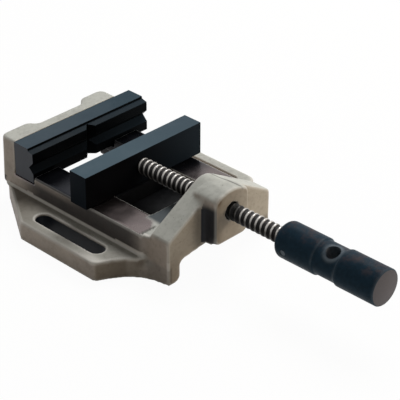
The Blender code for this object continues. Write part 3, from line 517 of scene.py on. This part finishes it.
def evenSkin(node, voxelMm):
    # the CAD mesh as an even mesh of small faces
    mesh = node.data.copy()
    loose = bmesh.new()
    loose.from_mesh(mesh)
    bmesh.ops.remove_doubles(loose, verts=loose.verts, dist=1e-6)
    loose.to_mesh(mesh)
    loose.free()
    skin = bpy.data.objects.new("castingSkin", mesh)
    bpy.context.scene.collection.objects.link(skin)
    remesh = skin.modifiers.new("evenFaces", "REMESH")
    remesh.mode = "VOXEL"
    remesh.voxel_size = voxelMm * mm
    applyModifiers(skin)
    return skin


def inRebate(ax, y, z):
    # the seat of the fixed jaw plate
    return (y > 117) & (y < 139) & (z > 23) & (ax < 60)


def drawInTips(x, y, z, shape):
    # the flange's front tips lean into the body: what stands proud of the body's side is drawn in,
    # more and more from tipLow up to tipHigh, and from tipStart forward to tipFull
    shoulder = smoothStep(y, 7.5, 11.5)
    side = np.where(x < 0, 47.5 + 2 * shoulder, 50.5 - shoulder)
    proud = np.maximum(np.abs(x) - side, 0)
    reach = fallStep(y, shape["tipFullMm"], shape["tipStartMm"]) * (z < 20) * (y > -12.6)
    return x - np.sign(x) * proud * reach * smoothStep(z, shape["tipLowMm"], shape["tipHighMm"])


def softened(points, edges, shape):
    # cast areas are averaged with their neighbours, so that their edges turn soft, while the milled
    # areas and the pocket of the carriage stay as they are
    x, y, z = (points / mm).T
    ax = np.abs(x)
    onRail = (np.abs(z - shape["railTopMm"]) < 0.7) & (y > 9) & (ax < 49)
    inChannel = (ax < 27.4) & (y > 23.5) & (y < 139) & (z > 19)
    inPocket = (ax < 42) & (y > -8) & (y < 142) & (z < 24)
    free = 1.0 - (onRail | inRebate(ax, y, z) | inChannel | inPocket)
    # where the boss grows out of the flanks, and at the flange tips, the skin is eased more
    fromBoss = np.hypot(np.hypot(np.abs(x - 1.5) - 18.5, y + 14), z - 50)
    fromTip = np.hypot(np.hypot(ax - 49.5, 0.7 * (y - 2)), z - 12)
    eased = np.maximum(fallStep(fromBoss, 4, 9), fallStep(fromTip, 6, 11))
    result = points.copy()
    for strength, passes in ((free, shape["softeningPasses"]), (eased, shape["easingPasses"])):
        share = (shape["passShare"] * strength)[:, None]
        for _ in range(passes):
            result += share * (neighbourMean(result, edges) - result)
    return result


def sharpPocketCorner(points, shape):
    # the even mesh bevels the pocket's rear corner, where the keeper ends at full travel
    x, y, z = (points / mm).T
    top = shape["railUndersideMm"]
    corner = (np.abs(x) < 36) & (y > 136.9) & (y < 138.3) & (z > 18.0) & (z < top)
    points[corner, 2] = top * mm


def seamDistance(x, y):
    # the seam runs along the boss, a little to the right of its top, from the crown's rear edge
    return x - (7.0 + 0.085 * (5 - y))


def sinkSeam(points, shape):
    # a groove with a bell-shaped section along the seam
    x, y, z = (points / mm).T
    crown = (z > 50) * fallStep(y, 3, 4.8)
    points[:, 2] -= shape["seamDepthMm"] * mm * crown * gauss(seamDistance(x, y), shape["seamWidthMm"])


def railMasks(x, y, z, nz, railTop):
    # deck and milled rails, the painted shadow line and the chip where milled and cast skin meet, and
    # the painted shadow and reflection of the moving jaw on the right rail behind it
    ax = np.abs(x)
    onRail = (np.abs(z - railTop) < 0.35) & (np.abs(nz) > 0.9) & (y > 5)
    deck = onRail * fallStep(ax, 28, 33) * fallStep(y, 24, 26)
    # the milled rails end at a ragged line on the outside and fade out towards the channel
    ragged = 12.0 + 0.25 * np.sin(1.9 * x) + 0.2 * np.sin(4.3 * x + 1)
    fadeLength = 0.6 + 8 * fallStep(ax, 30, 40)
    milled = onRail * smoothStep(y, ragged, ragged + fadeLength) * (y < 119)
    milled = milled * fallStep(ax, 48.6, 49.2) * (1 - deck)
    milled = np.maximum(milled, inRebate(ax, y, z) & (z < 25.5))
    raggedLine = onRail * gauss(y - ragged, 0.9) * smoothStep(ax, 33, 36)
    chip = onRail * (y < 11) * (ax > 45)
    behindBar = 0.88 * onRail * (x > 26) * (1 - deck) * smoothStep(y, 30, 56) * fallStep(y, 76, 84)
    return deck, milled, raggedLine, chip, behindBar


def sideMasks(x, y, z, nx):
    # painted shadow on the body's left side, lighter on its upper rear where hands have worn the rim,
    # and the arm's left end painted a darker brown
    toSide = (np.abs(nx) > 0.6) * (np.abs(x) > 45)
    left = x < 0
    bodySide = toSide * left * smoothStep(z, 14.5, 17) * fallStep(z, 30, 33) * smoothStep(y, 2, 14)
    worn = 0.55 * smoothStep(z, 23, 28) * smoothStep(y, 62, 95)
    sideShadeStrength = 0.3 * fallStep(y, 122, 136) + 0.52 * smoothStep(y, 0, 26) * fallStep(y, 108, 134)
    armEnd = toSide * left * fallStep(y, 5, 12) * 0.27 * smoothStep(z, 12, 15)
    return bodySide * sideShadeStrength * (1 - worn), armEnd


def frontMasks(x, y, z, nx, ny):
    # the fronts of boss and arms painted browner and darker on the left than on the right, partly brown
    # film and partly painted shade of light that comes from the right, with a spot on the boss's rim;
    # the coves beside the boss get a painted dark reflection and the fronts next to them painted shade
    left = x < 0
    toFront = smoothStep(-ny, 0.5, 0.8)
    bossDarkening = 0.22 + 0.25 * gauss(x + 15, 5) + 0.2 * fallStep(x, -2, 14)
    darkening = np.where(y < -18, bossDarkening, np.where(left, 0.28, 0.06))
    lowCorner = 0.3 * smoothStep(-x, 30, 46) * fallStep(z, 8, 26)
    rimSpot = 0.6 * gauss(np.hypot(np.hypot(x + 13.4, y + 24.6), z - 55.5), 3.0)
    cove = (np.abs(nx) > 0.5) * (y < -14) * left * fallStep(z, 47.0, 54.0)
    nearCove = toFront * (y > -20) * left * smoothStep(x, -27, -17) * fallStep(z, 42, 52)
    return toFront * (darkening + lowCorner), rimSpot, cove, nearCove


def flangeMasks(x, y, z, nx, nz):
    # painted shadow of the body on the left flange's top, a painted pale reflection on its outer rim,
    # painted shade beside the body, darker outer sides, painted deep shade in the slot, and a painted
    # highlight on the fillet at the foot of the body
    ax, left = np.abs(x), x < 0
    onTop = (nz > 0.6) * (z < 16) * (ax > 51.5)
    darkening = onTop * np.where(left, 0.34 + 0.32 * smoothStep(y, 60, 125), 0.04)
    paleRim = 0.6 * onTop * left * smoothStep(ax, 68, 75) * gauss(y - 27, 14)
    besideBody = (nz > 0.6) * (z < 18) * left * smoothStep(x, -66, -50) * smoothStep(y, 4, 16)
    sideDarkening = (np.abs(nz) < 0.5) * (ax > 44) * fallStep(z, 12, 15) * fallStep(y, 5, 62)
    inSlot = (np.abs(ax - 64) < 7) * (y > 30) * (y < 99) * (z < 13.6) * (np.abs(nz) < 0.7)
    fillet = (nz > 0.3) * (nz < 0.95) * (np.abs(nx) > 0.2) * (np.abs(z - 16.0) < 1.1) * (ax < 53)
    return darkening, paleRim, besideBody, sideDarkening, inSlot * left, fillet * smoothStep(y, 6, 10)


def castingMasks(x, y, z, normals, curved, railTop):
    # where each shade of the casting's skin lies, from 0 to 1
    nx, ny, nz = normals.T
    ax = np.abs(x)
    deck, milled, raggedLine, chip, behindBar = railMasks(x, y, z, nz, railTop)
    bodySide, armEnd = sideMasks(x, y, z, nx)
    frontDarkening, rimSpot, cove, nearCove = frontMasks(x, y, z, nx, ny)
    flangeShadow, paleRim, besideBody, sideDarkening, inSlot, fillet = flangeMasks(x, y, z, nx, nz)
    # the seam's groove is painted darker as painted shade
    seam = gauss(seamDistance(x, y), 0.9) * (nz > 0.2) * (z > 50) * fallStep(y, 2, 4.5)
    # the rails between the jaws and the pocket below them get hardly any light
    between = (ax < 49.3) * ((z > 15) | (ax < 42)) * ((y < 120) | (z < 24)) * smoothStep(y, 66, 80)
    between = between * ((y < 137) | ((z < 20) & (y < 150)))
    # hollows are painted darker as painted shade, and sharp edges are painted paler, partly rubbed bare
    # and partly as a painted highlight, apart from those of the channel
    hollow = smoothStep(-curved, 0.03, 0.10) * (1 - fillet) * fallStep(z, 40, 46)
    sharp = smoothStep(curved, 0.018, 0.08)
    wornAndHighlit = sharp * (0.33 + 0.25 * (z < 18) * (z > 12)) * (1 - 0.6 * between) * (1 - milled)
    wornAndHighlit = wornAndHighlit * (1 - 0.9 * (ax < 29) * (y > 22) * (y < 139))
    # brown stain with painted shade, then painted shade in hollows, along the seam and the milled line,
    # beside the body, the cove and the outer sides
    stainedAndShaded = frontDarkening + armEnd + flangeShadow + rimSpot
    paintedShade = (0.5 * hollow + 0.2 * besideBody + 0.95 * raggedLine + 0.75 * seam + 0.45 * nearCove
            + 0.4 * sideDarkening)
    shaded = bodySide + 0.95 * cove + np.maximum(0.93 * between, behindBar) + 0.98 * inSlot
    return {
        "deck": deck, "milled": milled,
        "stainedAndShaded": np.clip(stainedAndShaded, 0, 0.9), "paintedShade": np.clip(paintedShade, 0, 0.95),
        "shaded": np.clip(shaded, 0, 0.98) * (1 - fillet),
        "edgeWearAndHighlight": np.clip(wornAndHighlit + 0.55 * fillet + 0.8 * chip + paleRim, 0, 1),
    }


def makeCasting(node, shape):
    casting = evenSkin(node, shape["voxelMm"])
    mesh = casting.data
    edges = edgeNeighbours(mesh)
    start = vertexValues(mesh, "co")
    start[:, 0] = drawInTips(*(start / mm).T, shape) * mm
    points = softened(start, edges, shape)
    sharpPocketCorner(points, shape)
    sinkSeam(points, shape)
    mesh.vertices.foreach_set("co", points.ravel())
    mesh.update()
    normals = vertexValues(mesh, "normal")
    # curvature: how far the neighbours lie under the surface, spread over a few faces
    curved = -np.sum((neighbourMean(start, edges) - start) * normals, axis=1) / mm
    for _ in range(shape["curvaturePasses"]):
        curved = neighbourMean(curved, edges)
    x, y, z = (points / mm).T
    for name, values in castingMasks(x, y, z, normals, curved, shape["railTopMm"]).items():
        addLayer(mesh, name, values)
    mesh.shade_smooth()
    return casting


casting = makeCasting(nodes["base_casting"], castingShape)
standIn(casting, "base_casting", "base", castIron)
print("base casting ready:", len(casting.data.polygons), "faces")


# spindle with its thread, lengths in mm

spindleShape = {
    "height": 43.2, "from": -71.8, "to": 58.9, "crest": 6.0, "root": 4.6, "pitch": 4.5,
    "aroundSteps": 48, "perTurn": 12,
    # plain ends, as pairs of place along Y and radius: the tang in the handle, the neck in the jaw
    "tang": ((-91.4, 5.0), (-72.0, 5.0), (-71.8, 5.0)),
    "neck": ((58.9, 4.5), (63.4, 4.5), (63.5, 3.2), (68.1, 3.2), (68.2, 4.5), (71.2, 4.5)),
}


def threadSurface(shape, angles):
    # radius at distance s and angle t: the root plus the depth times a rounded wave of the phase
    # s / pitch - t / full turn; right-hand, as the crest moves along +Y while t grows about +Y
    length = shape["to"] - shape["from"]
    rows = int(length / shape["pitch"] * shape["perTurn"])
    s = np.linspace(0, length, rows)[:, None]
    wave = 0.5 + 0.5 * np.cos(math.tau * (s / shape["pitch"] - angles / math.tau))
    radius = shape["root"] + (shape["crest"] - shape["root"]) * smoothStep(wave, 0.3, 0.92)
    return turned(shape["from"] + s, radius, angles, shape["height"])


def plainEnd(stations, angles, height):
    along, radius = np.array(stations).T[:, :, None]
    return turned(along, radius, angles, height)


def makeSpindle(shape):
    steps, height = shape["aroundSteps"], shape["height"]
    angles = np.linspace(0, math.tau, steps, endpoint=False)[None, :]
    points = np.concatenate([plainEnd(shape["tang"], angles, height), threadSurface(shape, angles),
                             plainEnd(shape["neck"], angles, height)])
    spindle = meshObject("threadedSpindle", points * mm, gridFaces(len(points), steps))
    x, y, z = (vertexValues(spindle.data, "co") / mm).T
    reach = np.hypot(x, z - height)
    crest = np.clip((reach - shape["root"]) / (shape["crest"] - shape["root"]), 0, 1)
    # oil has dried on the turns beside the boss, and black grease sits on the nearest of them; the lower
    # half of the thread is painted black as painted shade
    behindBossFront = fallStep(y, -24, -20)
    crest *= 1 - 0.35 * smoothStep(y, -40, -30) * behindBossFront
    upward = (z - height) / np.maximum(reach, 1)
    greaseAndLowerShade = np.maximum(0.85 * fallStep(upward, 0.1, 0.82),
                         0.6 * smoothStep(y, -37, -30) * behindBossFront)
    addLayer(spindle.data, "crest", crest)
    addLayer(spindle.data, "greaseAndLowerShade", greaseAndLowerShade)
    return spindle


spindle = makeSpindle(spindleShape)
standIn(spindle, "spindle", "screw", threadSteel)
print("spindle ready")


# handle, lengths in mm and angles in degrees

handleShape = {
    "height": 43.2, "front": -71.5, "length": 82.1, "radius": 12.8, "noseRound": 4.2, "chamfer": 0.8,
    "waistRadius": 11.8, "waistStart": 32.0, "waistLength": 19.0,
    "boreRadius": 5.3, "boreDepth": 20.3,
    "holeRadius": 5.0, "holeAt": 43.5, "holeTilt": -22.0,
    "pinRadius": 2.3, "pinAt": 9.0, "pinTilt": -100.0,
    "aroundSteps": 120, "sharpDegrees": 35.0,
    "wornRadius": 5.9, "wornWidth": 1.3, "wornRimWidth": 0.5, "wornRimShare": 0.35,
    # pairs of place along the hole and what is added to its radius: the tommy bar's hole flares at
    # both mouths, the pin's hole is straight
    "holeFlare": ((-16.0, 1.4), (-12.9, 0.7), (-12.2, 0.0), (12.2, 0.0), (12.9, 0.7), (16.0, 1.4)),
    "pinFlare": ((-16.0, 0.0), (16.0, 0.0)),
}


def turnedProfile(shape):
    # (distance from the front, radius): the nose is a quarter circle, the waist has eased corners, and
    # the end has a rounded chamfer
    radius, waist = shape["radius"], shape["waistRadius"]
    length, bevel = shape["length"], shape["chamfer"]
    angles = np.radians(np.linspace(0, 90, 10))
    nose = [(shape["noseRound"] * (1 - math.cos(a)), radius - shape["noseRound"] * (1 - math.sin(a)))
            for a in angles]
    start, end = shape["waistStart"], shape["waistStart"] + shape["waistLength"]
    waistPart = [(start - 0.35, radius), (start, radius - 0.2), (start + 0.7, waist + 0.1),
                 (start + 1.2, waist), (end - 2.6, waist), (end - 2.0, waist + 0.12),
                 (end - 0.4, radius - 0.15), (end, radius)]
    ending = [(length - bevel, radius), (length - 0.55 * bevel, radius - 0.3 * bevel),
              (length - 0.2 * bevel, radius - 0.65 * bevel), (length, radius - 1.1 * bevel)]
    distance, size = np.array([(0.0, shape["boreRadius"])] + nose + waistPart + ending).T
    steps = np.unique(np.concatenate([distance, np.arange(5, length - 1, 1.5)]))
    return steps, np.interp(steps, distance, size)


def drill(piece, middle, tiltDegrees, radius, profile, aroundSteps=48):
    # a hole straight through: rings of the radius plus the flare, carried along the tilted axis
    tilt = math.radians(tiltDegrees)
    across = np.array((math.sin(tilt), 0.0, math.cos(tilt)))
    side = np.array((0.0, 1.0, 0.0))
    other = np.cross(across, side)
    spans, flare = np.array(profile).T
    u = np.linspace(0, math.tau, aroundSteps, endpoint=False)[None, :, None]
    rings = (middle + spans[:, None, None] * across
             + (radius + flare)[:, None, None] * (np.cos(u) * side + np.sin(u) * other))
    cutter = meshObject("drillCutter", rings * mm, gridFaces(len(rings), aroundSteps))
    cut = piece.modifiers.new("hole", "BOOLEAN")
    cut.operation = "DIFFERENCE"
    cut.object = cutter
    cut.solver = "EXACT"
    applyModifiers(piece)
    bpy.data.objects.remove(cutter)
    return across


def handleWear(points, shape, holeMiddle, across):
    # worn round the mouths of the tommy bar's hole and on the rims of the waist and of the end
    away = points - holeMiddle
    fromHole = np.linalg.norm(away - (away @ across)[:, None] * across, axis=1)
    along = shape["front"] - points[:, 1]
    rimPlaces = (shape["waistStart"], shape["waistStart"] + shape["waistLength"], shape["length"] - 0.4)
    rims = sum(gauss(along - rim, shape["wornRimWidth"]) for rim in rimPlaces)
    mouth = gauss(fromHole - shape["wornRadius"], shape["wornWidth"])
    return np.clip(mouth + shape["wornRimShare"] * rims, 0, 1)


def makeHandle(shape):
    # the profile turned about the spindle's middle line, with a bore for the spindle's tang
    height, front, steps = shape["height"], shape["front"], shape["aroundSteps"]
    angles = np.linspace(0, math.tau, steps, endpoint=False)[None, :]
    distance, radius = turnedProfile(shape)
    bore = plainEnd(((front - shape["boreDepth"], shape["boreRadius"]),), angles, height)
    outer = turned(front - distance[:, None], radius[:, None], angles, height)
    points = np.concatenate([bore, outer]) * mm
    handle = meshObject("turnedHandle", points, gridFaces(len(points), steps))
    pinMiddle = np.array((0.0, front - shape["pinAt"], height))
    drill(handle, pinMiddle, shape["pinTilt"], shape["pinRadius"], shape["pinFlare"])
    holeMiddle = np.array((0.0, front - shape["holeAt"], height))
    across = drill(handle, holeMiddle, shape["holeTilt"], shape["holeRadius"], shape["holeFlare"])
    mesh = handle.data
    addLayer(mesh, "worn", handleWear(vertexValues(mesh, "co") / mm, shape, holeMiddle, across))
    mesh.shade_smooth()
    mesh.set_sharp_from_angle(angle=math.radians(shape["sharpDegrees"]))
    return handle


handle = makeHandle(handleShape)
standIn(handle, "handle_barrel", "screw", barrelSteel)
print("handle ready")


# materials of the CAD pieces that stay; those not named here are black screws and washers

nodeMaterials = {
    "fixed_jaw_plate": plateSteel, "moving_jaw_bar": barSteel,
    "jaw_carriage": steels["oiledDarkSteel"], "keeper_plate": steels["oiledDarkSteel"],
    "spindle_nut": steels["oiledBushSteel"], "handle_pin": steels["brownedPinSteel"],
    "spindle_pin_left": steels["drawnPinSteel"], "spindle_pin_right": steels["drawnPinSteel"],
}
for name, node in nodes.items():
    if not node.hide_render:
        dress(node, nodeMaterials.get(name, steels["blackOxideScrews"]))
print("CAD pieces dressed")
